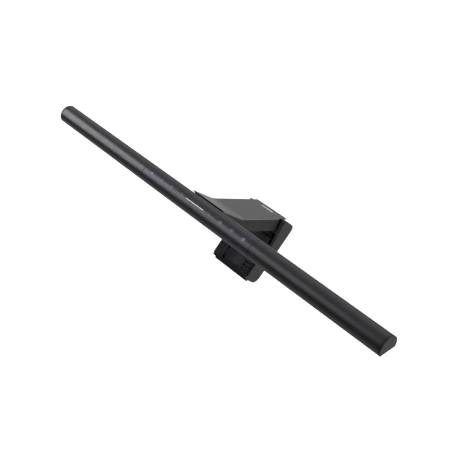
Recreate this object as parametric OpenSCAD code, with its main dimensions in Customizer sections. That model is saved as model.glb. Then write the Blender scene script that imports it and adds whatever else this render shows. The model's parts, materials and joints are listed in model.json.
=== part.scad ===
// Monitor light bar: a D-section lamp that turns in a clamp which hooks over
// the top edge of a flat screen, held by a sprung counterweight arm behind it.
// +X runs along the bar, +Y points away from the user, +Z is up.
// The origin is on the clamp's seat, where it rests on the screen's top edge.

/* [Light bar] */
// Overall length of the light bar, end caps included
bar_length = 500; // [440:10:560]
// Radius of the round part of the bar's section
bar_r = 11.1; // [10.9:0.1:11.3]
// Distance from the bar's centre line down to the flat light window
flat_drop = 5.2; // [5.1:0.1:5.4]
// Turn of the light window about the bar's centre line at rest
bar_turn = 23.2; // [21:0.2:25]
// Wall thickness of the aluminium bar
bar_wall = 1.6; // [1.5:0.1:1.8]
// Distance from the seat's centre forward to the bar's centre line
bar_reach = 79; // [78.5:0.5:79.5]
// Height of the bar's centre line above the seat
bar_height = 14.6; // [14.4:0.1:14.8]
// Thickness of each end cap's face
cap_t = 2.5; // [2:0.5:4]

/* [Controls] */
// Length of the touch control panel
panel_length = 170; // [160:5:200]
// Distance between neighbouring touch keys
key_pitch = 17; // [15:0.5:18]
// Length of the lit brightness slider
slider_length = 27; // [20:1:28]

/* [Lamp] */
// Width of the light window
window_w = 14.6; // [13:0.2:15]
// Distance between light emitters along the bar
emitter_pitch = 8.4; // [7:0.2:12]

/* [Clamp] */
// Width of the clamp housing and its cover
clamp_w = 48; // [46:1:48]
// Height of the cover's flat top above the seat
plate_z = 15.8; // [15.6:0.1:16]
// Distance from the seat's centre back to the cover's rear edge
plate_rear = 38; // [37:0.5:38]
// Distance from the seat's centre forward to the bend in the cover
bend_y = 36.4; // [34:0.2:40]
// Slope of the cover's ramp up to the bar
ramp_a = 15.1; // [14.5:0.1:15.3]
// Thickness of the cover sheet
cover_t = 1.2; // [1:0.1:1.4]
// Distance from the seat's centre forward to the lip's rubber face
lip_y = 13.4; // [12.4:0.2:14]
// How far the lip hangs below the seat
lip_drop = 7; // [5:0.5:9]

/* [Rear arm] */
// Width of the rear arm
arm_w = 57.6; // [57:0.2:60]
// Lean of the rear arm from upright at rest
arm_lean = 20.8; // [20:0.2:22]
// Distance from the seat's centre back to the arm's hinge line
hinge_y = 39.7; // [39.5:0.1:40]
// Height of the arm's hinge line above the seat
hinge_z = 4.6; // [4.4:0.1:4.8]
// Length of the arm below its hinge line
arm_drop = 71.4; // [69:0.2:74]
// Radius of the hinge pin
pin_r = 2; // [1.8:0.1:2.2]
// Width of the ribbed grip pad
pad_w = 51.8; // [49:0.2:52]
// Distance between the ribs of the grip pad
rib_pitch = 4.3; // [3.6:0.1:5]

/* [Hidden] */
$fn = 96;
fit_gap = 0.1;
seam = 0.3;
far = 60;

// Light bar, measured in the turned frame of its section
body_len = bar_length - 2 * cap_t;
inner_r = bar_r - bar_wall;
lip_t = 1.3;
inner_drop = flat_drop - lip_t;
panel_a0 = 43;
panel_a1 = 200;
key_a = 125;
board_z = 0.95;
board_t = 1.2;
board_w = 15.2;
notch_half = 15;
rail_gap_half = 16;

// Tilt hinge: two screws run through slots in the bar's wall to an inner shoe
shoe_screw_a = 18;
shoe_screw_x = 8;
shoe_screw_r = 1.4;
tilt_down = 35;
tilt_up = 3;
cradle_r = bar_r + 0.3;
lining_r = bar_r + fit_gap;
lining_t = 0.8;
slot_play = 9;

// Clamp
under_z = plate_z - cover_t;
front_edge_y = 70.2;
ramp_len = (front_edge_y - bend_y) / cos(ramp_a);
bend_r = 45;
bend_half = bend_r * tan(ramp_a / 2);
floor_z = 0.6;
floor_t = 2;
wall_t = 1.8;
tail_low_y = 24.2;
tail_high_y = 27.2;
cover_screw_spots = [[-17, -52], [17, -52], [-17, 12], [17, 12]];
cover_screw_z = 7.6;
ear_x = 11;
ear_t = 4;
bracket_screw_x = 5.5;
spring_x = 15;
spring_coils = 5;
spring_rise = 1.05;
spring_leg_x = spring_x + spring_rise * (spring_coils + (90 + arm_lean) / 360);

// Rear arm, measured in the leaning frame of the arm, from its hinge line
back_p = 9.3;
shell_t = 2.1;
top_q = 7.3;
head_p = -13.2;
foot_p = -15.5;
cheek_in = arm_w / 2 - 2.2;
cheek_bevel = 2.1;
neck_p = -8;
neck_q = -26;
elbow_q = -51;
fork_in = clamp_w / 2 + 0.6;
lap_p = -12.4;
lap_q = -47.9;
pad_profile = [[-13.6, -48], [-15.1, -59.8], [-13.6, -65.4], [-8, -73.4]];
pad_bed = [[-11.8, -47.8], [-12.9, -59.5], [-11.6, -64], [-6.6, -71.1]];
rib_count = 5;
rib_in = 15.5;
hollow_half = 14;
hollow_depth = 1.9;
port_q = -61.6;

// Runs a Y-Z outline along X, centred
module along_x(len) {
    rotate([90, 0, 90])
        linear_extrude(height = len, center = true)
            children();
}

// The bar's own frame: centre line at the origin, light window facing down
module on_bar() {
    translate([0, -bar_reach, bar_height])
        rotate([bar_turn, 0, 0])
            children();
}

// The same centre line without the turn, for what stays with the clamp
module on_cradle() {
    translate([0, -bar_reach, bar_height])
        children();
}

// The arm's own frame: hinge line at the origin, arm hanging down
module on_arm() {
    translate([0, hinge_y, hinge_z])
        rotate([-arm_lean, 0, 0])
            children();
}

module d_section(r, drop) {
    intersection() {
        circle(r = r);
        translate([-far / 2, -drop])
            square([far, far]);
    }
}

// Ring sector from angle a0 to a1
module arc_band(r0, r1, a0, a1) {
    steps = ceil((a1 - a0) / 30);
    reach = 3 * r1;
    intersection() {
        difference() {
            circle(r = r1);
            circle(r = r0);
        }
        polygon(concat([[0, 0]], [
            for (i = [0:steps])
                let (a = a0 + (a1 - a0) * i / steps)
                reach * [cos(a), sin(a)]
        ]));
    }
}

// Polygon with true arcs on its convex corners; each point is [x, y, radius]
function xy(p) = [p[0], p[1]];
function unit(v) = v / norm(v);
function corner_half(a, b, c) = acos(unit(xy(a) - xy(b)) * unit(xy(c) - xy(b))) / 2;
module rounded_outline(pts) {
    n = len(pts);
    polygon([
        for (i = [0:n - 1])
            let (
                a = pts[(i + n - 1) % n],
                b = pts[i],
                c = pts[(i + 1) % n],
                t = b[2] / tan(corner_half(a, b, c))
            )
            for (p = b[2] > 0
                ? [xy(b) + t * unit(xy(a) - xy(b)), xy(b) + t * unit(xy(c) - xy(b))]
                : [xy(b)])
                p
    ]);
    for (i = [0:n - 1]) {
        a = pts[(i + n - 1) % n];
        b = pts[i];
        c = pts[(i + 1) % n];
        if (b[2] > 0) {
            mid = unit(unit(xy(a) - xy(b)) + unit(xy(c) - xy(b)));
            translate(xy(b) + mid * b[2] / sin(corner_half(a, b, c)))
                circle(r = b[2]);
        }
    }
}

// Flat-sided slot or plug with round ends, drawn about the origin
module stadium(w, h) {
    square([w - h, h], center = true);
    for (s = [-1, 1])
        translate([s * (w - h) / 2, 0])
            circle(d = h);
}

// Screw pointing along +Z, its head below the origin
module screw(r, len, head_r, head_t) {
    translate([0, 0, -0.01])
        cylinder(r = r, h = len + 0.01, $fn = 48);
    difference() {
        translate([0, 0, -head_t])
            cylinder(r = head_r, h = head_t, $fn = 48);
        translate([0, 0, -head_t - 0.01])
            cylinder(r = head_r * 0.45, h = head_t * 0.55, $fn = 6);
    }
}

// Points a +Z feature outwards along the cradle's radius at angle a
module radial(a, r) {
    rotate([a - 90, 0, 0])
        translate([0, 0, r])
            children();
}

// Round lead that follows a list of points
module lead(pts, r) {
    for (i = [0:len(pts) - 2]) {
        d = pts[i + 1] - pts[i];
        translate(pts[i])
            rotate([0, acos(d[2] / norm(d)), atan2(d[1], d[0])])
                cylinder(r = r, h = norm(d), $fn = 32);
    }
    for (i = [1:len(pts) - 2])
        translate(pts[i])
            sphere(r = r + 0.12, $fn = 32);
}

// ---- Light bar ----

module wall_slots(play) {
    a0 = shoe_screw_a - tilt_up - play - bar_turn;
    a1 = shoe_screw_a + tilt_down + play - bar_turn;
    for (s = [-1, 1])
        translate([s * shoe_screw_x, 0, 0])
            along_x(2 * shoe_screw_r + 0.6)
                arc_band(inner_r - 1, bar_r + 1, a0, a1);
}

module bar_housing() {
    rail_in = 6.6;
    color("#3c3c3f")
        on_bar()
            difference() {
                union() {
                    difference() {
                        along_x(body_len)
                            d_section(bar_r, flat_drop);
                        along_x(body_len + 2)
                            d_section(inner_r, inner_drop);
                        along_x(body_len + 2)
                            translate([-window_w / 2, -flat_drop - 1])
                                square([window_w, 3]);
                    }
                    // Rails that carry the lamp board
                    intersection() {
                        along_x(body_len)
                            d_section(bar_r - bar_wall / 2, inner_drop);
                        for (s = [-1, 1], t = [-1, 1])
                            translate([
                                s * (body_len / 2 + rail_gap_half) / 2,
                                t * (rail_in + far / 2),
                                board_z - 0.5
                            ])
                                cube([body_len / 2 - rail_gap_half, far, 0.8], center = true);
                    }
                }
                along_x(panel_length + 2 * seam)
                    arc_band(inner_r - 1, bar_r + 1, panel_a0 - 1, panel_a1 + 1);
                wall_slots(slot_play);
            }
}

module slider_cut(grow) {
    rotate([key_a - 90, 0, 0])
        translate([0, 0, bar_r - 1])
            cube([slider_length + grow, 0.7 + grow, 4], center = true);
}

module control_panel() {
    color("#414144")
        on_bar()
            difference() {
                union() {
                    along_x(panel_length)
                        arc_band(inner_r, bar_r, panel_a0, panel_a1);
                    // Snap ribs behind the panel's long edges
                    along_x(panel_length - 8)
                        arc_band(inner_r - 0.9, inner_r + 0.05, panel_a0 + 4, panel_a0 + 12);
                    along_x(panel_length - 8)
                        arc_band(inner_r - 0.9, inner_r + 0.05, panel_a1 - 12, panel_a1 - 4);
                }
                slider_cut(0.1);
            }
}

module slider_light_guide() {
    color("#d8dade")
        on_bar()
            intersection() {
                slider_cut(0);
                along_x(slider_length + 2)
                    arc_band(inner_r - 0.6, bar_r, 0, 180);
            }
}

module touch_board() {
    color("#1f5136")
        on_bar()
            rotate([key_a - 90, 0, 0])
                translate([0, 0, 7.2])
                    difference() {
                        cube([panel_length - 10, 9, 1], center = true);
                        for (s = [-1, 1])
                            translate([s * (panel_length / 2 - 9), 0, 0])
                                cylinder(r = 1.1, h = 4, center = true, $fn = 32);
                    }
}

module touch_pads() {
    color("#c9b26a")
        on_bar()
            rotate([key_a - 90, 0, 0])
                for (s = [-1, 1], i = [1:4])
                    translate([s * (6 + key_pitch * i), 0, 7.7])
                        cylinder(r = 1.9, h = inner_r - 7.9, $fn = 48);
}

module board_chips() {
    color("#202022")
        on_bar()
            rotate([key_a - 90, 0, 0])
                for (x = [-62, -36, -12, 14, 40])
                    translate([x, 0, 6.2])
                        cube([5, 4, 1], center = true);
}

module led_board() {
    color("#e6e6e2")
        on_bar()
            translate([0, 0, board_z + board_t / 2])
                difference() {
                    cube([body_len - 12, board_w, board_t], center = true);
                    translate([0, board_w / 2, 0])
                        cube([2 * notch_half, 5, 3], center = true);
                }
}

module led_emitters() {
    count = floor((body_len - 30) / emitter_pitch / 2);
    color("#f2e7a0")
        on_bar()
            for (s = [-1, 1], i = [0:count - 1])
                translate([s * (i + 0.5) * emitter_pitch, 0, board_z - 0.35])
                    cube([3.5, 2.8, 0.7], center = true);
}

module reflector_strips() {
    color("#f4f4f2")
        on_bar()
            for (s = [-1, 1], t = [0, 1])
                mirror([0, t, 0])
                    translate([s * (body_len / 2 + notch_half) / 2, 0, 0])
                        along_x(body_len / 2 - notch_half - 8)
                            polygon([[4.2, 0.05], [6.2, 0.05], [7.9, -2.4], [7.1, -2.4], [5.6, -0.6], [4.2, -0.6]]);
}

module diffuser() {
    color("#eef0ee")
        on_bar()
            along_x(body_len - 0.4) {
                translate([-8.2, -inner_drop])
                    square([16.4, 1.2]);
                translate([-window_w / 2 + 0.1, -flat_drop + 0.1])
                    square([window_w - 0.2, flat_drop - inner_drop + 0.1]);
            }
}

module end_cap() {
    plug = 6;
    color("#454547")
        on_bar()
            translate([body_len / 2, 0, 0]) {
                translate([cap_t / 2, 0, 0])
                    along_x(cap_t)
                        d_section(bar_r, flat_drop);
                // Plug that holds the cap in the bar
                translate([-plug / 2 + 0.05, 0, 0])
                    along_x(plug + 0.1)
                        intersection() {
                            arc_band(inner_r - 1.4, inner_r, 20, 160);
                            d_section(bar_r, flat_drop);
                        }
            }
}

module end_cap_right() {
    end_cap();
}

module end_cap_left() {
    mirror([1, 0, 0])
        end_cap();
}

// ---- Clamp ----

// Point on the cover's ramp, a distance s forward of the bend and a depth t below its face
function on_ramp(s, t) = [-bend_y - s * cos(ramp_a) - t * sin(ramp_a), plate_z + s * sin(ramp_a) - t * cos(ramp_a)];
under_bend = [-bend_y - cover_t * tan(ramp_a / 2), under_z];

module cover_outline() {
    difference() {
        polygon([
            [plate_rear, under_z],
            [plate_rear, plate_z],
            [bend_half - bend_y, plate_z],
            on_ramp(bend_half, 0),
            on_ramp(ramp_len, 0),
            on_ramp(ramp_len, cover_t),
            under_bend
        ]);
        // Wide soft bend between the plate and the ramp
        translate([bend_half - bend_y, plate_z + bend_r - 0.02])
            circle(r = bend_r);
    }
}

// Space below the cover
module below_cover() {
    front = on_ramp(ramp_len, cover_t);
    polygon([[far, under_z], under_bend, front, [front[0], -far], [far, -far]]);
}

module top_cover() {
    color("#68686a") {
        along_x(clamp_w)
            cover_outline();
        // Threaded bosses on the cover's underside, above the housing's bosses
        intersection() {
            for (p = cover_screw_spots)
                translate([p[0], p[1], 9.6])
                    difference() {
                        cylinder(r = 2.6, h = far, $fn = 48);
                        cylinder(r = 1, h = 3.4, $fn = 32);
                    }
            along_x(clamp_w - 8)
                below_cover();
        }
    }
}

module cover_screws() {
    color("#9a9a9c")
        for (p = cover_screw_spots)
            translate([p[0], p[1], cover_screw_z])
                screw(1, 5, 1.9, 1.3);
}

module housing_outline() {
    intersection() {
        below_cover();
        difference() {
            polygon([
                [-67.4, far],
                [-67.4, 19.2],
                [-69.3, 19.2],
                [-69.3, 9],
                [-66, 4.6],
                [-60, 2.8],
                [-17, floor_z],
                [tail_low_y, floor_z],
                [tail_high_y, under_z],
                [tail_high_y, far]
            ]);
            translate([-bar_reach, bar_height])
                circle(r = cradle_r);
        }
    }
}

module housing_hollow() {
    polygon([
        [-64.6, far],
        [-64.6, 8],
        [-59.6, 4.8],
        [-17, floor_z + floor_t],
        [tail_low_y - 1.4, floor_z + floor_t],
        [tail_high_y - 2.1, under_z],
        [tail_high_y - 2.1, far]
    ]);
}

module lip() {
    thick = 4;
    front = -lip_y - 1 - thick;
    along_x(40) {
        translate([front, -lip_drop + thick / 2])
            square([thick, lip_drop + 1.4 - thick / 2]);
        translate([front + thick / 2, -lip_drop + thick / 2])
            circle(d = thick);
    }
}

module clamp_housing() {
    color("#4a4a4c")
        difference() {
            union() {
                difference() {
                    along_x(clamp_w)
                        housing_outline();
                    along_x(clamp_w - 2 * wall_t)
                        housing_hollow();
                }
                lip();
                // Bosses that carry the cover
                for (p = cover_screw_spots)
                    translate([p[0], p[1], floor_z + floor_t - 0.1])
                        cylinder(r = 3, h = 6.9, $fn = 48);
            }
            // Seat pad's pocket
            translate([0, 4.7, 0])
                cube([38.2, 34.8, 2.4], center = true);
            // Cover screws pass up through the bosses, their heads deep inside
            for (p = cover_screw_spots)
                translate([p[0], p[1], 0]) {
                    cylinder(r = 1.1, h = 12, $fn = 32);
                    translate([0, 0, -1])
                        cylinder(r = 2.1, h = cover_screw_z + 1, $fn = 48);
                }
            // Tilt screws and the seats of their heads
            on_cradle() {
                along_x(40.2)
                    arc_band(cradle_r - 1, lining_r + lining_t, -24, 11);
                for (s = [-1, 1])
                    translate([s * shoe_screw_x, 0, 0]) {
                        radial(shoe_screw_a, cradle_r - 2)
                            cylinder(r = shoe_screw_r + 0.1, h = 8, $fn = 48);
                        radial(shoe_screw_a, 13.9)
                            cylinder(r = 2.5, h = 2.6, $fn = 48);
                    }
            }
            // Windows for the bracket's ears and the springs' legs
            for (s = [-1, 1]) {
                translate([s * ear_x, 27, 5.7])
                    cube([ear_t + 0.4, 12, 6.2], center = true);
                translate([s * spring_leg_x, 27, 8])
                    cube([1.8, 12, 2.2], center = true);
                translate([s * bracket_screw_x, 15.6, 1.8])
                    cylinder(r = 1.2, h = 3, $fn = 32);
            }
        }
}

module seat_pad() {
    color("#2b2b2d")
        difference() {
            translate([0, 4.7, 0.6])
                cube([38, 34.6, 1.2], center = true);
            for (y = [-8:4:18])
                translate([0, y, 0])
                    cube([34, 0.8, 0.8], center = true);
        }
}

module lip_pad() {
    color("#2b2b2d")
        translate([0, -lip_y - 0.5, -3])
            cube([36, 1, 5.2], center = true);
}

module cradle_lining() {
    color("#26262a")
        on_cradle()
            along_x(40)
                arc_band(lining_r, lining_r + lining_t, -23.6, 10.6);
}

module hinge_shoe() {
    color("#a8a8aa")
        on_cradle()
            difference() {
                along_x(26)
                    arc_band(inner_r - 1.6, inner_r - 0.3, 11, 34);
                for (s = [-1, 1])
                    translate([s * shoe_screw_x, 0, 0])
                        radial(shoe_screw_a, 6)
                            cylinder(r = shoe_screw_r, h = 6, $fn = 48);
            }
}

module shoe_screws() {
    color("#9a9a9c")
        on_cradle()
            for (s = [-1, 1])
                translate([s * shoe_screw_x, 0, 0])
                    radial(shoe_screw_a, 13.9)
                        rotate([180, 0, 0])
                            screw(shoe_screw_r, 5.9, 2.3, 1.5);
}

module rear_bracket() {
    color("#8f8f92")
        difference() {
            union() {
                translate([0, 16.2, floor_z + floor_t + 0.9])
                    cube([2 * ear_x + ear_t, 12.4, 1.8], center = true);
                for (s = [-1, 1])
                    translate([s * ear_x, 0, 0])
                        along_x(ear_t) {
                            translate([hinge_y, hinge_z])
                                circle(r = 4.6);
                            translate([12, 2.8])
                                square([hinge_y - 12, 5.6]);
                        }
            }
            translate([0, hinge_y, hinge_z])
                rotate([0, 90, 0])
                    cylinder(r = pin_r + 0.05, h = 40, center = true, $fn = 64);
            for (s = [-1, 1])
                translate([s * bracket_screw_x, 15.6, 1])
                    cylinder(r = 1.2, h = 6, $fn = 32);
        }
}

module bracket_screws() {
    color("#9a9a9c")
        for (s = [-1, 1])
            translate([s * bracket_screw_x, 15.6, floor_z + floor_t + 1.8])
                rotate([180, 0, 0])
                    screw(1.1, 2.5, 1.9, 1.2);
}

// Close-wound spring about the hinge line, with one straight leg at each end
module torsion_spring() {
    wire_r = 0.45;
    coil_r = 3.2;
    steps = 14;
    turn = 90 + arm_lean + spring_coils * 360;
    last = round(turn / 360 * steps);
    sides = 6;
    arm_leg = 9.4;
    clamp_leg = 15;
    first_a = -arm_lean;
    function ang(i) = first_a + turn * i / last;
    function out(a) = [0, cos(a), sin(a)];
    function way(a) = [0, -sin(a), cos(a)];
    function spot(i) = [spring_x + spring_rise * turn * i / last / 360, 0, 0] + coil_r * out(ang(i));
    path = concat(
        [[spot(0) - arm_leg * way(ang(0)), ang(0)]],
        [for (i = [0:last]) [spot(i), ang(i)]],
        [[spot(last) + clamp_leg * way(ang(last)), ang(last)]]
    );
    n = len(path);
    polyhedron(
        points = [
            for (p = path, k = [0:sides - 1])
                let (b = 360 * k / sides)
                p[0] + wire_r * (cos(b) * [1, 0, 0] + sin(b) * out(p[1]))
        ],
        faces = concat(
            [[for (k = [0:sides - 1]) k]],
            [[for (k = [sides - 1:-1:0]) (n - 1) * sides + k]],
            [
                for (i = [0:n - 2], k = [0:sides - 1])
                    let (m = (k + 1) % sides)
                    [i * sides + m, i * sides + k, (i + 1) * sides + k, (i + 1) * sides + m]
            ]
        )
    );
}

module torsion_springs() {
    color("#b5b5b8")
        translate([0, hinge_y, hinge_z])
            for (t = [0, 1])
                mirror([t, 0, 0])
                    torsion_spring();
}

module neck_lead() {
    color("#18181a")
        lead([[0, -62, 13], [0, -57, 7.5], [0, -40, 5.5], [0, 22, 6.4]], 1.1);
}

// ---- Rear arm ----

module cheek_outline() {
    rounded_outline([
        [head_p, top_q, 2.5],
        [neck_p, neck_q, 0],
        [foot_p, elbow_q, 5],
        [foot_p, -arm_drop, 7],
        [back_p, -arm_drop, 8.5],
        [back_p, top_q, 6.5]
    ]);
}

// Bevels both cheeks along a straight front edge that runs from a to b
module cheek_edge_cut(a, b) {
    side = cheek_bevel * sqrt(2);
    for (s = [-1, 1])
        translate([s * arm_w / 2, (a[0] + b[0]) / 2, (a[1] + b[1]) / 2])
            rotate([atan2(a[0] - b[0], b[1] - a[1]), 0, 0])
                rotate([0, 0, 45])
                    cube([side, side, norm(b - a) + 2], center = true);
}

module arm_shell() {
    mid_w = 2 * fork_in + 0.2;
    color("#555557")
        on_arm()
            difference() {
                union() {
                    difference() {
                        along_x(arm_w)
                            cheek_outline();
                        // Room between the fork's cheeks
                        translate([0, far / 2, 0])
                            cube([2 * fork_in, 3 * far, 2 * top_q + 8], center = true);
                        // Hollow of the arm, open at the front
                        translate([0, back_p - shell_t - far / 2, (-11 - arm_drop + shell_t) / 2])
                            cube([2 * cheek_in, far, arm_drop - shell_t - 11], center = true);
                        translate([0, -4.1 - far / 2, -arm_drop])
                            cube([2 * cheek_in, far, 20], center = true);
                        // Step that the grip pad's margins lap over
                        translate([0, lap_p - far / 2, lap_q - far / 2])
                            cube([2 * far, far, far], center = true);
                        cheek_edge_cut([neck_p, neck_q], [head_p, top_q - 3]);
                        cheek_edge_cut([foot_p, elbow_q], [neck_p, neck_q]);
                    }
                    // Back wall and the round cover of the hinge
                    along_x(mid_w) {
                        intersection() {
                            cheek_outline();
                            arc_band(6.5, 2 * back_p, 0, 93 + arm_lean);
                        }
                        translate([back_p - 2, -12])
                            square([2, 12.01]);
                    }
                    // Shelf above the hollow, with the ribs that the springs push on
                    translate([0, (back_p + 2) / 2, -11])
                        cube([2 * fork_in, back_p - 2, 2], center = true);
                    for (s = [-1, 1])
                        translate([s * (spring_x + 0.5), 1.9, -9.2])
                            cube([4, 1.4, 5.6], center = true);
                }
                rotate([0, 90, 0])
                    cylinder(r = pin_r, h = arm_w - 3, center = true, $fn = 64);
                // Socket's opening
                translate([0, back_p - shell_t - 1, port_q])
                    rotate([-90, 0, 0])
                        linear_extrude(height = 5)
                            stadium(9.6, 3.9);
                for (s = [-1, 1])
                    translate([s * 17, back_p - 3, -36])
                        rotate([-90, 0, 0])
                            cylinder(r = 1.3, h = 2, $fn = 32);
            }
}

module hinge_pin() {
    color("#b9b9bc")
        translate([0, hinge_y, hinge_z])
            rotate([0, 90, 0])
                cylinder(r = pin_r, h = arm_w - 3.4, center = true, $fn = 64);
}

module hinge_washers() {
    color("#3a3a3c")
        translate([0, hinge_y, hinge_z])
            rotate([0, 90, 0])
                for (s = [-1, 1], x = [ear_x - ear_t / 2 - 0.45, ear_x + ear_t / 2 + 0.45])
                    translate([0, 0, s * x])
                        difference() {
                            cylinder(r = 4.2, h = 0.6, center = true, $fn = 64);
                            cylinder(r = pin_r, h = 2, center = true, $fn = 64);
                        }
}

module weight_block() {
    color("#7d7d80")
        on_arm()
            difference() {
                translate([0, -1, -36])
                    cube([44, 15.4, 42], center = true);
                for (s = [-1, 1]) {
                    translate([s * 17, 0, -36])
                        rotate([90, 0, 0]) {
                            cylinder(r = 1.5, h = 30, center = true, $fn = 48);
                            translate([0, 0, 6])
                                cylinder(r = 3, h = 6, $fn = 48);
                        }
                    translate([s * 18, -4.6, -53])
                        rotate([90, 0, 0])
                            cylinder(r = 1.2, h = 12, $fn = 48);
                }
            }
}

module weight_screws() {
    color("#9a9a9c")
        on_arm()
            for (s = [-1, 1])
                translate([s * 17, -6, -36])
                    rotate([-90, 0, 0])
                        screw(1.3, 14, 2.6, 1.8);
}

module pad_carrier() {
    color("#5a5a5c")
        on_arm()
            difference() {
                union() {
                    along_x(49)
                        polygon(concat([[-12, -18.3], [-13.2, -47.6]], pad_bed, [
                            [-4.3, -71.1], [-4.3, -68.6], [-8, -66.6],
                            [-10.4, -59.5], [-9.5, -47], [-9.5, -18.3]
                        ]));
                    // Side hooks behind the arm's cheeks
                    for (s = [-1, 1])
                        translate([s * 25.4, -8.6, -30])
                            cube([2, 2.4, 10], center = true);
                    for (s = [-1, 1])
                        translate([s * 25.4, -9.8, -57])
                            cube([2, 2, 8], center = true);
                }
                for (s = [-1, 1])
                    translate([s * 18, 0, -53])
                        rotate([90, 0, 0]) {
                            cylinder(r = 1.3, h = 20, $fn = 48);
                            translate([0, 0, 10.9])
                                cylinder(r = 2.4, h = 8, $fn = 48);
                        }
            }
}

module carrier_screws() {
    color("#9a9a9c")
        on_arm()
            for (s = [-1, 1])
                translate([s * 18, -10.9, -53])
                    rotate([-90, 0, 0])
                        screw(1.2, 6, 2.1, 1);
}

// Ribbed margins that lap over the front of the arm's cheeks
module pad_margins() {
    intersection() {
        along_x(arm_w)
            rounded_outline([
                [lap_p, lap_q, 0],
                [-14.3, lap_q, 0],
                [foot_p, elbow_q, 5],
                [foot_p, -67.4, 3.5],
                [lap_p, -68.2, 0]
            ]);
        // Corners rounded towards the arm's sides
        translate([0, 0, lap_q - far])
            linear_extrude(height = 2 * far)
                rounded_outline([
                    [-arm_w / 2, foot_p, 3],
                    [arm_w / 2, foot_p, 3],
                    [arm_w / 2, 0, 0],
                    [-arm_w / 2, 0, 0]
                ]);
        for (s = [-1, 1])
            translate([s * (hollow_half + far / 2 - 0.5), lap_p - far / 2, lap_q - far / 2])
                cube([far, far, far], center = true);
    }
}

module grip_pad() {
    first = pad_profile[0];
    nose = pad_profile[1];
    heel = pad_profile[2];
    toe = pad_profile[3];
    hollow_r = (hollow_half * hollow_half / hollow_depth + hollow_depth) / 2;
    color("#34353a")
        on_arm()
            difference() {
                union() {
                    along_x(pad_w)
                        rounded_outline([
                            [first[0], first[1], 0.8],
                            [nose[0], nose[1], 9],
                            [heel[0], heel[1], 9],
                            [toe[0], toe[1], 1.5],
                            [-4.2, toe[1], 0.8],
                            [-4.2, -50, 0],
                            [-10, first[1], 0]
                        ]);
                    pad_margins();
                }
                // Room for the carrier
                along_x(pad_w)
                    polygon(concat(pad_bed, [[far, -71.1], [far, -40], [-11.8, -40]]));
                // Shallow hollow between the ribbed margins
                translate([0, foot_p + hollow_depth - hollow_r, -2 * far])
                    cylinder(r = hollow_r, h = 2 * far, $fn = 192);
                // Grooves between the ribs
                for (s = [-1, 1], i = [0:rib_count - 1])
                    translate([s * (rib_in + far / 2), foot_p + 0.3, elbow_q + 0.5 - i * rib_pitch])
                        rotate([0, 90, 0])
                            cylinder(r = 1.15, h = far, center = true, $fn = 32);
            }
}

module usb_board() {
    color("#1f5136")
        on_arm()
            translate([0, 0.4, port_q - 2.35])
                cube([24, 13, 1.2], center = true);
}

module usb_shell() {
    color("#c4c4c8")
        on_arm()
            translate([0, back_p - 7.9, port_q])
                rotate([-90, 0, 0])
                    difference() {
                        linear_extrude(height = 7.4)
                            stadium(9, 3.3);
                        translate([0, 0, 1])
                            linear_extrude(height = 8)
                                stadium(8.4, 2.7);
                    }
}

module usb_tongue() {
    color("#151517")
        on_arm()
            translate([0, back_p - 4.9, port_q])
                cube([6.6, 4, 0.7], center = true);
}

module arm_lead() {
    color("#18181a")
        on_arm()
            lead([[9, -3, -62.2], [20, -3, -62.2], [24.2, -2, -59], [24.2, -2, -13.5], [19, -1, -13.5]], 1);
}

bar_housing();
control_panel();
slider_light_guide();
touch_board();
touch_pads();
board_chips();
led_board();
led_emitters();
reflector_strips();
diffuser();
end_cap_left();
end_cap_right();
top_cover();
cover_screws();
clamp_housing();
seat_pad();
lip_pad();
cradle_lining();
hinge_shoe();
shoe_screws();
rear_bracket();
bracket_screws();
torsion_springs();
neck_lead();
hinge_pin();
hinge_washers();
arm_shell();
weight_block();
weight_screws();
pad_carrier();
carrier_screws();
grip_pad();
usb_board();
usb_shell();
usb_tongue();
arm_lead();
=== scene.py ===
"""Looks of the monitor light bar: soft edges and finishes on the CAD frame, printed marks, studio, camera."""

import json
import math

import bmesh
import bpy
from mathutils import Matrix, Vector


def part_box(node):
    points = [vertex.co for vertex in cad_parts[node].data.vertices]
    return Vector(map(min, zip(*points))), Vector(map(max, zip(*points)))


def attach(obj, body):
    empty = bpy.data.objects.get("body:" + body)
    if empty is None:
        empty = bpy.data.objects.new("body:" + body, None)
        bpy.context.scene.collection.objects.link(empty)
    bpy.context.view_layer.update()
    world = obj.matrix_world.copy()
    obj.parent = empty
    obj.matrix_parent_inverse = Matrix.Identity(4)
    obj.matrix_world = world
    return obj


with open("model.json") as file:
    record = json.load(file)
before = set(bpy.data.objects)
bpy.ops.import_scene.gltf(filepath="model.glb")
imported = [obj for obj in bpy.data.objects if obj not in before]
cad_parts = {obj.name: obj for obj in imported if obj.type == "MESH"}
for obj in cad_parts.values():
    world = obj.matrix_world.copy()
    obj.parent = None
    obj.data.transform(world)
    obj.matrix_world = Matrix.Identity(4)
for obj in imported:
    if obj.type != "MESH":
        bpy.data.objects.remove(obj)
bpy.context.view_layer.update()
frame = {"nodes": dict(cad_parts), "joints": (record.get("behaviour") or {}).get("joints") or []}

MM = 0.001
WELD_GAP = 0.001 * MM


# ---- Places that come from the frame ----

joint_of = {joint["name"]: joint for joint in frame["joints"]}
bar_axis = Vector(joint_of["bar_tilt"]["pos_m"])
bar_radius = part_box("end_cap_right")[1].z - bar_axis.z
guide_low, guide_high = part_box("slider_light_guide")
cover_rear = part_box("top_cover")[1].y
guide_middle = (guide_low + guide_high) / 2 - bar_axis
# Angle round the bar at which the slider and the keys lie
key_line = math.atan2(guide_middle.z, guide_middle.y)


# ---- Materials ----

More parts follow.
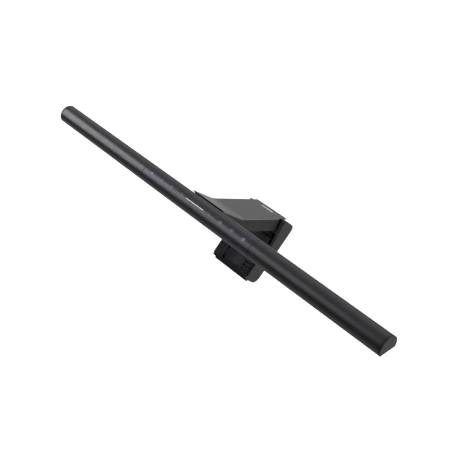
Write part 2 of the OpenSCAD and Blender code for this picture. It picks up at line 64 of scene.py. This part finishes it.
class Nodes:
    """Short calls that add nodes to one material and join them."""

    def __init__(self, name):
        self.material = bpy.data.materials.new(name)
        self.material.use_nodes = True
        self.tree = self.material.node_tree
        self.shader = self.tree.nodes["Principled BSDF"]
        self.place = self.add("ShaderNodeTexCoord").outputs["Object"]

    def add(self, kind, **values):
        node = self.tree.nodes.new(kind)
        for key, value in values.items():
            setattr(node, key, value)
        return node

    def join(self, source, target):
        self.tree.links.new(source, target)

    def noise(self, size, detail=2.0, stretch=(1, 1, 1), shift=0.0):
        """Cloudy 0..1 pattern; its features are about size metres across."""
        mapping = self.add("ShaderNodeMapping")
        mapping.inputs["Scale"].default_value = stretch
        mapping.inputs["Location"].default_value = (shift, shift, shift)
        self.join(self.place, mapping.inputs["Vector"])
        noise = self.add("ShaderNodeTexNoise")
        noise.inputs["Scale"].default_value = 1 / size
        noise.inputs["Detail"].default_value = detail
        self.join(mapping.outputs["Vector"], noise.inputs["Vector"])
        return noise.outputs["Fac"]

    def spread(self, value, low, high, from_low=0.3, from_high=0.7):
        """Maps from_low..from_high, by default the middle of a 0..1 pattern, to low..high."""
        node = self.add("ShaderNodeMapRange")
        node.inputs["From Min"].default_value = from_low
        node.inputs["From Max"].default_value = from_high
        node.inputs["To Min"].default_value = low
        node.inputs["To Max"].default_value = high
        self.join(value, node.inputs["Value"])
        return node.outputs["Result"]

    def math(self, operation, a, b):
        """One calculation; a and b are sockets or plain numbers."""
        node = self.add("ShaderNodeMath", operation=operation)
        for socket, value in zip(node.inputs, (a, b)):
            if isinstance(value, (int, float)):
                socket.default_value = value
            else:
                self.join(value, socket)
        return node.outputs["Value"]

    def mix(self, factor, a, b):
        """Blend from a to b; both are sockets or plain colours."""
        node = self.add("ShaderNodeMix", data_type="RGBA")
        self.join(factor, node.inputs["Factor"])
        for socket, value in ((node.inputs["A"], a), (node.inputs["B"], b)):
            if isinstance(value, (tuple, list)):
                socket.default_value = (*value[:3], 1)
            else:
                self.join(value, socket)
        return node.outputs["Result"]

    def edges(self, radius):
        """0 on flat or gently curved faces, rising to 1 on sharp edges."""
        bevel = self.add("ShaderNodeBevel", samples=6)
        bevel.inputs["Radius"].default_value = radius
        geometry = self.add("ShaderNodeNewGeometry")
        dot = self.add("ShaderNodeVectorMath", operation="DOT_PRODUCT")
        self.join(bevel.outputs["Normal"], dot.inputs[0])
        self.join(geometry.outputs["Normal"], dot.inputs[1])
        return self.spread(dot.outputs["Value"], 1.0, 0.0, from_low=0.75, from_high=0.985)

    def bump(self, height, depth):
        """Relief from a 0..1 pattern; depth is in metres."""
        node = self.add("ShaderNodeBump")
        node.inputs["Strength"].default_value = 1.0
        node.inputs["Distance"].default_value = depth
        self.join(height, node.inputs["Height"])
        return node.outputs["Normal"]


def shade(colour, factor):
    """Colour made lighter or darker."""
    return tuple(min(1.0, channel * factor) for channel in colour)


# Wear on edges: its width, the size of its patches, and how much lighter and smoother it makes them
WEAR_WIDTH = 0.35 * MM
WEAR_SIZE = 2.2 * MM
WORN_LIGHTER = 2.5
WORN_SMOOTHER = 0.15


def surface(
    name,
    colour,
    roughness,
    metallic=0.0,
    tint=0.1,
    cloud=9 * MM,
    grain=0.3 * MM,
    depth=0.01 * MM,
    rough_spread=0.05,
    wear=0.0,
    worn=None,
    stretch=(1, 1, 1),
    specular=0.5,
):
    """Finish with cloudy colour and roughness, fine grain relief and, if asked, lighter worn edges.

    cloud and grain are the sizes of the coarse and the fine pattern, depth is that of the grain's relief.
    """
    nodes = Nodes(name)
    clouds = nodes.noise(cloud, detail=3.0)
    fine = nodes.noise(grain, detail=2.0, stretch=stretch, shift=3.1)
    speckle = nodes.math("MULTIPLY", fine, nodes.spread(clouds, 0.8, 1.2))
    base = nodes.mix(nodes.spread(speckle, 0.0, 1.0), shade(colour, 1 - tint), shade(colour, 1 + tint))
    patches = nodes.noise(cloud * 0.6, detail=4.0, shift=7.7)
    rough = nodes.spread(patches, roughness - rough_spread, roughness + rough_spread)
    if wear > 0:
        edges = nodes.edges(WEAR_WIDTH)
        rubbed = nodes.math("MULTIPLY", edges, nodes.spread(nodes.noise(WEAR_SIZE, detail=4.0), 0.0, wear))
        base = nodes.mix(rubbed, base, worn or shade(colour, WORN_LIGHTER))
        rough = nodes.math("SUBTRACT", rough, nodes.math("MULTIPLY", rubbed, WORN_SMOOTHER))
    nodes.join(base, nodes.shader.inputs["Base Color"])
    nodes.join(rough, nodes.shader.inputs["Roughness"])
    nodes.join(nodes.bump(fine, depth), nodes.shader.inputs["Normal"])
    nodes.shader.inputs["Metallic"].default_value = metallic
    nodes.shader.inputs["Specular IOR Level"].default_value = specular
    return nodes


def paint_front_shade(nodes, colour):
    """Paints shade on the faces that look towards the bar: darkens their colour where the bar shades them."""
    parts = nodes.add("ShaderNodeSeparateXYZ")
    nodes.join(nodes.add("ShaderNodeTexCoord").outputs["Normal"], parts.inputs["Vector"])
    front = nodes.spread(parts.outputs["Y"], 1.0, 0.0, from_low=-0.9, from_high=-0.6)
    base = nodes.shader.inputs["Base Color"].links[0].from_socket
    nodes.join(nodes.mix(front, base, colour), nodes.shader.inputs["Base Color"])


# Finishes by name; a colour is linear red, green and blue
FINISHES = {
    "anodised_bar": dict(
        colour=(0.12, 0.119, 0.126), roughness=0.33, metallic=1.0, tint=0.06, cloud=14 * MM,
        grain=0.25 * MM, depth=0.0015 * MM, wear=0.5, worn=(0.22, 0.22, 0.225),
    ),
    "satin_panel": dict(
        colour=(0.124, 0.121, 0.137), roughness=0.34, metallic=1.0, tint=0.05, cloud=11 * MM,
        grain=0.3 * MM, depth=0.004 * MM,
    ),
    "black_cap": dict(
        colour=(0.012, 0.012, 0.013), roughness=0.38, tint=0.12, grain=0.35 * MM, depth=0.012 * MM,
        wear=0.35,
    ),
    "anodised_cover": dict(
        colour=(0.295, 0.293, 0.302), roughness=0.30, metallic=1.0, tint=0.05, cloud=16 * MM,
        grain=0.22 * MM, depth=0.008 * MM, wear=0.5, worn=(0.38, 0.38, 0.385),
    ),
    "spark_plastic": dict(
        colour=(0.026, 0.026, 0.029), roughness=0.45, tint=0.14, grain=0.4 * MM, depth=0.03 * MM,
        wear=0.3, specular=0.6,
    ),
    "spark_arm": dict(
        colour=(0.050, 0.050, 0.051), roughness=0.45, tint=0.12, grain=0.42 * MM, depth=0.03 * MM,
        wear=0.35, specular=0.7,
    ),
    "spark_carrier": dict(
        colour=(0.026, 0.026, 0.027), roughness=0.48, tint=0.12, grain=0.4 * MM, depth=0.03 * MM,
    ),
    "silicone": dict(
        colour=(0.0095, 0.0105, 0.017), roughness=0.56, tint=0.16, cloud=5 * MM, grain=0.5 * MM,
        depth=0.02 * MM, wear=0.3, worn=(0.06, 0.06, 0.065), specular=0.42,
    ),
    "seat_rubber": dict(
        colour=(0.016, 0.016, 0.017), roughness=0.7, tint=0.2, cloud=4 * MM, grain=0.45 * MM,
        depth=0.03 * MM,
    ),
    "lead_sheath": dict(
        colour=(0.010, 0.010, 0.011), roughness=0.5, tint=0.15, grain=0.4 * MM, depth=0.01 * MM,
    ),
    "friction_liner": dict(
        colour=(0.022, 0.022, 0.024), roughness=0.35, tint=0.15, grain=0.3 * MM, stretch=(1, 6, 6),
    ),
    "moulded_black": dict(
        colour=(0.012, 0.012, 0.013), roughness=0.45, tint=0.15, grain=0.3 * MM, depth=0.01 * MM,
    ),
    "washer_nylon": dict(colour=(0.015, 0.015, 0.016), roughness=0.4, tint=0.1, grain=0.3 * MM),
    "plated_steel": dict(
        colour=(0.56, 0.56, 0.57), roughness=0.32, metallic=1.0, tint=0.08, cloud=3 * MM,
        grain=0.12 * MM, depth=0.004 * MM, rough_spread=0.1,
    ),
    "ground_steel": dict(
        colour=(0.62, 0.62, 0.63), roughness=0.22, metallic=1.0, tint=0.06, cloud=3 * MM,
        grain=0.06 * MM, depth=0.003 * MM, stretch=(8, 1, 1),
    ),
    "spring_wire": dict(
        colour=(0.05, 0.05, 0.052), roughness=0.4, metallic=1.0, tint=0.12, cloud=2 * MM,
        grain=0.1 * MM,
    ),
    "black_oxide": dict(
        colour=(0.05, 0.05, 0.052), roughness=0.45, metallic=0.8, tint=0.15, cloud=4 * MM,
        grain=0.3 * MM,
    ),
    "shell_tin": dict(
        colour=(0.66, 0.66, 0.67), roughness=0.25, metallic=1.0, tint=0.06, cloud=2 * MM,
        grain=0.1 * MM,
    ),
    "gilt_pad": dict(
        colour=(0.60, 0.45, 0.20), roughness=0.3, metallic=1.0, tint=0.1, cloud=1.5 * MM,
        grain=0.1 * MM,
    ),
    "solder_mask": dict(
        colour=(0.010, 0.06, 0.025), roughness=0.3, tint=0.25, cloud=2.5 * MM, grain=0.5 * MM,
        depth=0.01 * MM,
    ),
    "white_mask": dict(
        colour=(0.74, 0.74, 0.72), roughness=0.4, tint=0.05, cloud=5 * MM, grain=0.5 * MM,
    ),
    "white_reflector": dict(
        colour=(0.80, 0.80, 0.79), roughness=0.35, tint=0.04, cloud=6 * MM, grain=0.3 * MM,
    ),
    "phosphor": dict(
        colour=(0.80, 0.62, 0.16), roughness=0.3, tint=0.1, cloud=1 * MM, grain=0.15 * MM,
    ),
    "opal": dict(
        colour=(0.78, 0.79, 0.78), roughness=0.33, tint=0.03, cloud=12 * MM, grain=0.2 * MM,
        depth=0.006 * MM,
    ),
    "guide_clear": dict(
        colour=(0.62, 0.63, 0.65), roughness=0.3, tint=0.05, cloud=2 * MM, grain=0.2 * MM,
    ),
    "print_bright": dict(
        colour=(0.44, 0.44, 0.45), roughness=0.45, tint=0.08, cloud=1 * MM, grain=0.15 * MM,
    ),
    "print_dim": dict(
        colour=(0.22, 0.22, 0.23), roughness=0.45, tint=0.1, cloud=1 * MM, grain=0.15 * MM,
    ),
    "print_white": dict(
        colour=(0.86, 0.86, 0.87), roughness=0.4, tint=0.05, cloud=1 * MM, grain=0.15 * MM,
    ),
}


def make_materials():
    """One material for each finish, with what a few of them have besides."""
    made = {name: surface(name, **values) for name, values in FINISHES.items()}
    # Painted shade: the cover's faces that look towards the bar are darkened to this near-black, standing in
    # for the bar's shade on them.
    paint_front_shade(made["anodised_cover"], (0.03, 0.03, 0.03))
    made["opal"].shader.inputs["Transmission Weight"].default_value = 0.25
    # Painted glow: a faint white emission makes the slider guide shine, though no lamp lights it.
    guide = made["guide_clear"].shader
    guide.inputs["Emission Color"].default_value = (1.0, 1.0, 1.0, 1.0)
    guide.inputs["Emission Strength"].default_value = 0.35
    return {name: nodes.material for name, nodes in made.items()}


materials = make_materials()


def dress(obj, finish_name):
    """Gives an object one finish."""
    obj.data.materials.clear()
    obj.data.materials.append(materials[finish_name])


# ---- CAD nodes: edge radius in millimetres and finish ----

LOOKS = {
    "bar_housing": (0.25, "anodised_bar"),
    "control_panel": (0.15, "satin_panel"),
    "slider_light_guide": (0.1, "guide_clear"),
    "touch_board": (0.1, "solder_mask"),
    "touch_pads": (0.15, "gilt_pad"),
    "board_chips": (0.15, "moulded_black"),
    "led_board": (0.1, "white_mask"),
    "led_emitters": (0.1, "phosphor"),
    "reflector_strips": (0.1, "white_reflector"),
    "diffuser": (0.2, "opal"),
    "end_cap_left": (0.5, "black_cap"),
    "end_cap_right": (0.5, "black_cap"),
    "top_cover": (0.3, "anodised_cover"),
    "cover_screws": (0.15, "plated_steel"),
    "clamp_housing": (0.4, "spark_plastic"),
    "seat_pad": (0.15, "seat_rubber"),
    "lip_pad": (0.2, "seat_rubber"),
    "cradle_lining": (0.1, "friction_liner"),
    "hinge_shoe": (0.1, "plated_steel"),
    "shoe_screws": (0.15, "plated_steel"),
    "rear_bracket": (0.3, "black_oxide"),
    "bracket_screws": (0.15, "plated_steel"),
    "torsion_springs": (0.0, "spring_wire"),
    "neck_lead": (0.0, "lead_sheath"),
    "hinge_pin": (0.3, "ground_steel"),
    "hinge_washers": (0.1, "washer_nylon"),
    "arm_shell": (0.5, "spark_arm"),
    "weight_block": (0.6, "black_oxide"),
    "weight_screws": (0.2, "plated_steel"),
    "pad_carrier": (0.4, "spark_carrier"),
    "carrier_screws": (0.15, "plated_steel"),
    "grip_pad": (0.35, "silicone"),
    "usb_board": (0.1, "solder_mask"),
    "usb_shell": (0.1, "shell_tin"),
    "usb_tongue": (0.1, "moulded_black"),
    "arm_lead": (0.0, "lead_sheath"),
}


def soften(obj, radius):
    """Rounds an object's sharp edges and shades its curved faces smoothly."""
    weld = obj.modifiers.new("weld", "WELD")
    weld.merge_threshold = WELD_GAP
    if radius > 0:
        bevel = obj.modifiers.new("soft_edges", "BEVEL")
        bevel.width = radius * MM
        bevel.segments = 3
        bevel.limit_method = "ANGLE"
        bevel.angle_limit = math.radians(28)
        bevel.miter_outer = "MITER_ARC"
    shading = obj.modifiers.new("even_shading", "WEIGHTED_NORMAL")
    shading.keep_sharp = False
    shading.weight = 60


for node_name, (edge_radius, finish_name) in LOOKS.items():
    soften(frame["nodes"][node_name], edge_radius)
    dress(frame["nodes"][node_name], finish_name)


# ---- Printed marks ----

PRINT_LIFT = 0.02 * MM
COVER_FLAT_Z = 15.8 * MM


def on_panel(along, around, lift):
    """Point on the control panel: along the bar, and around its face from the key line, upwards."""
    angle = key_line - around / bar_radius
    reach = bar_radius + lift
    return Vector((along, bar_axis.y + reach * math.cos(angle), bar_axis.z + reach * math.sin(angle)))


def on_cover(along, inward, lift):
    """Point on the cover's flat top, by its distance in front of the rear edge."""
    return Vector((along, cover_rear - inward, COVER_FLAT_Z + lift))


def ring(x, y, inner, outer, steps=36):
    """Strip round a point, as pairs of inner and outer points; an inner radius of 0 gives a filled shape."""
    angles = [2 * math.pi * i / steps for i in range(steps + 1)]
    return [
        tuple((x + reach * math.cos(a), y + reach * math.sin(a)) for reach in (inner, outer))
        for a in angles
    ]


def dash(x0, y0, x1, y1, width, steps=8):
    """Strip along a straight line, as pairs of points on its two sides."""
    length = math.hypot(x1 - x0, y1 - y0)
    side_x = -(y1 - y0) / length * width / 2
    side_y = (x1 - x0) / length * width / 2
    line = [(x0 + (x1 - x0) * i / steps, y0 + (y1 - y0) * i / steps) for i in range(steps + 1)]
    return [((x - side_x, y - side_y), (x + side_x, y + side_y)) for x, y in line]


def rays(x, y, inner, outer, width, count=8):
    """Short dashes that point away from a centre."""
    turns = [(math.cos(a), math.sin(a)) for a in [2 * math.pi * i / count for i in range(count)]]
    return [
        dash(x + inner * c, y + inner * s, x + outer * c, y + outer * s, width, steps=1)
        for c, s in turns
    ]


def printed(name, strips, place, finish_name, body):
    """Thin print made of strips; place turns two measures and a lift into a point on the surface."""
    mesh = bmesh.new()
    for strip in strips:
        rows = [[mesh.verts.new(place(u * MM, v * MM, PRINT_LIFT)) for u, v in pair] for pair in strip]
        for (a, b), (c, d) in zip(rows, rows[1:]):
            mesh.faces.new((a, b, d, c))
    bmesh.ops.remove_doubles(mesh, verts=mesh.verts, dist=WELD_GAP)
    bmesh.ops.recalc_face_normals(mesh, faces=mesh.faces)
    data = bpy.data.meshes.new(name)
    mesh.to_mesh(data)
    mesh.free()
    obj = bpy.data.objects.new(name, data)
    bpy.context.scene.collection.objects.link(obj)
    dress(obj, finish_name)
    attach(obj, body)


# Key marks on the control panel, in millimetres: four plain shapes on each side of the slider, counted outwards
MARKS_MIDDLE = 1
FIRST_KEY = 22
KEY_SPACING = 17
LINE = 0.6
left_key = [MARKS_MIDDLE - FIRST_KEY - KEY_SPACING * i for i in range(4)]
right_key = [MARKS_MIDDLE + FIRST_KEY + KEY_SPACING * i for i in range(4)]


def level_dash(x, half):
    """Dash along the bar with its middle on the key line."""
    return dash(x - half, 0, x + half, 0, LINE)


def upright_dash(x, half):
    """Dash across the bar with its middle on the key line."""
    return dash(x, -half, x, half, LINE)


bright_marks = [
    ring(left_key[3], 0, inner=0, outer=1.5, steps=4),
    upright_dash(left_key[1], half=2.4),
    ring(right_key[1], 0, inner=1.15, outer=1.7),
    ring(right_key[3], 0, inner=0.8, outer=1.35),
    *rays(right_key[3], 0, inner=1.7, outer=2.3, width=0.35),
]
dim_marks = [
    ring(left_key[2], 0, inner=1.0, outer=1.6),
    level_dash(left_key[0], half=1.5),
    ring(left_key[0], 0, inner=1.3, outer=1.7),
    level_dash(right_key[0], half=1.4),
    upright_dash(right_key[0], half=1.4),
    ring(right_key[2], 0, inner=0, outer=1.0),
    ring(right_key[2], 0, inner=1.5, outer=1.95),
]

# Plain bar on the cover where the photograph shows a name, in millimetres
COVER_MARK_LEFT = -9
COVER_MARK_RIGHT = 8.5
COVER_MARK_INWARD = 8.3
COVER_MARK_WIDTH = 1.9
name_bar = dash(COVER_MARK_LEFT, COVER_MARK_INWARD, COVER_MARK_RIGHT, COVER_MARK_INWARD, COVER_MARK_WIDTH)

printed("key_marks", bright_marks, on_panel, "print_bright", "light_bar")
printed("key_marks_dim", dim_marks, on_panel, "print_dim", "light_bar")
printed("cover_mark", [name_bar], on_cover, "print_white", "clamp")


# ---- Studio ----

LIGHT_DISTANCE = 2.0
WATTS_PER_AREA = 4


def softbox(name, azimuth, elevation, width, height, brightness):
    """Soft rectangular light; azimuth in degrees from straight in front of the lamp towards its left end."""
    a = math.radians(azimuth)
    e = math.radians(elevation)
    at = LIGHT_DISTANCE * Vector((-math.sin(a) * math.cos(e), -math.cos(a) * math.cos(e), math.sin(e)))
    light = bpy.data.lights.new(name, "AREA")
    light.shape = "RECTANGLE"
    light.size = width
    light.size_y = height
    light.energy = WATTS_PER_AREA * width * height * brightness
    obj = bpy.data.objects.new(name, light)
    bpy.context.scene.collection.objects.link(obj)
    obj.location = at
    obj.rotation_mode = "QUATERNION"
    obj.rotation_quaternion = (-at).to_track_quat("-Z", "Y")
    return obj


# Pale sweep, in metres: a floor far below the lamp that curves up into a wall all round
FLOOR_Z = -1.2
FLOOR_MIDDLE = 0.02
FLOOR_RADIUS = 12
FLOOR_BEND = 3.0
WALL_HEIGHT = 14.0
FLOOR_STEPS = 96
BEND_STEPS = 12


def make_floor():
    """Floor and wall that show only behind the lamp: they don't light it or show in its reflections."""
    nodes = Nodes("pale_floor")
    pale = nodes.mix(nodes.noise(0.6, detail=3.0), (0.93, 0.93, 0.93), (0.95, 0.95, 0.95))
    nodes.join(pale, nodes.shader.inputs["Base Color"])
    nodes.shader.inputs["Roughness"].default_value = 0.9
    nodes.shader.inputs["Emission Color"].default_value = (1, 1, 1, 1)
    nodes.shader.inputs["Emission Strength"].default_value = 0.9
    bend_turns = [math.pi / 2 * i / BEND_STEPS for i in range(1, BEND_STEPS + 1)]
    profile = [
        (FLOOR_MIDDLE, 0.0),
        (FLOOR_RADIUS - FLOOR_BEND, 0.0),
        *[(FLOOR_RADIUS - FLOOR_BEND + FLOOR_BEND * math.sin(t), FLOOR_BEND - FLOOR_BEND * math.cos(t))
          for t in bend_turns],
        (FLOOR_RADIUS, WALL_HEIGHT),
    ]
    mesh = bmesh.new()
    turns = [2 * math.pi * i / FLOOR_STEPS for i in range(FLOOR_STEPS)]
    rings = [
        [mesh.verts.new((r * math.cos(a), r * math.sin(a), FLOOR_Z + z)) for a in turns]
        for r, z in profile
    ]
    mesh.faces.new(rings[0])
    for low, high in zip(rings, rings[1:]):
        for i in range(FLOOR_STEPS):
            after = (i + 1) % FLOOR_STEPS
            mesh.faces.new((low[i], low[after], high[after], high[i]))
    data = bpy.data.meshes.new("floor")
    mesh.to_mesh(data)
    mesh.free()
    floor = bpy.data.objects.new("floor", data)
    data.materials.append(nodes.material)
    bpy.context.scene.collection.objects.link(floor)
    floor.visible_diffuse = False
    floor.visible_glossy = False
    floor.visible_shadow = False


make_floor()


# Studio brightness round the lamp's length: 0 degrees is behind it, 90 above, 180 in front and -90 below
STUDIO_GLOW = [
    (-180, 0.04), (-145, 0.08), (-124, 0.14), (-108, 0.28), (-92, 0.40), (-76, 0.24),
    (-55, 0.26), (-25, 0.62), (-6, 0.48), (8, 0.48), (22, 0.20), (36, 0.34),
    (52, 0.66), (68, 0.50), (84, 0.36), (110, 0.27), (150, 0.14), (180, 0.04),
]


def make_world():
    """Studio all round, whose brightness changes only with the angle round the lamp's length."""
    world = bpy.data.worlds.new("studio")
    bpy.context.scene.world = world
    world.use_nodes = True
    tree = world.node_tree
    background = tree.nodes["Background"]
    toward = tree.nodes.new("ShaderNodeTexCoord")
    parts = tree.nodes.new("ShaderNodeSeparateXYZ")
    turn = tree.nodes.new("ShaderNodeMath")
    turn.operation = "ARCTAN2"
    span = tree.nodes.new("ShaderNodeMapRange")
    span.inputs["From Min"].default_value = -math.pi
    span.inputs["From Max"].default_value = math.pi
    glow = tree.nodes.new("ShaderNodeValToRGB")
    glow.color_ramp.interpolation = "B_SPLINE"
    stops = glow.color_ramp.elements
    while len(stops) < len(STUDIO_GLOW):
        stops.new(0.5)
    for stop, (degrees, level) in zip(stops, STUDIO_GLOW):
        stop.position = (degrees + 180) / 360
        stop.color = (level, level, level, 1)
    tree.links.new(toward.outputs["Generated"], parts.inputs["Vector"])
    tree.links.new(parts.outputs["Z"], turn.inputs[0])
    tree.links.new(parts.outputs["Y"], turn.inputs[1])
    tree.links.new(turn.outputs["Value"], span.inputs["Value"])
    tree.links.new(span.outputs["Result"], glow.inputs["Fac"])
    tree.links.new(glow.outputs["Color"], background.inputs["Color"])
    background.inputs["Strength"].default_value = 1.0


make_world()
softbox("key_left", azimuth=60, elevation=10.5, width=1.25, height=1.36, brightness=1.8)
softbox("key_front", azimuth=30, elevation=10.5, width=0.75, height=1.36, brightness=0.45)
fill = softbox("top_fill", azimuth=0, elevation=85, width=2.0, height=2.0, brightness=1.8)
fill.visible_glossy = False


# ---- Camera, in metres, degrees and millimetres of lens ----

CAMERA_AT = (0.49847, -0.64802, 0.27062)
CAMERA_YAW = 38.509
CAMERA_PITCH = -19.271
CAMERA_ROLL = 21.262
CAMERA_LENS = 61.31
SENSOR_WIDTH = 36

camera_data = bpy.data.cameras.new("camera")
camera_data.lens = CAMERA_LENS
camera_data.sensor_width = SENSOR_WIDTH
camera = bpy.data.objects.new("camera", camera_data)
bpy.context.scene.collection.objects.link(camera)
turn = Matrix.Rotation(math.radians(CAMERA_YAW), 4, "Z")
tip = Matrix.Rotation(math.radians(90 + CAMERA_PITCH), 4, "X")
roll = Matrix.Rotation(math.radians(CAMERA_ROLL), 4, "Z")
camera.matrix_world = Matrix.Translation(CAMERA_AT) @ turn @ tip @ roll
bpy.context.scene.camera = camera

bpy.context.scene.view_settings.view_transform = "Standard"
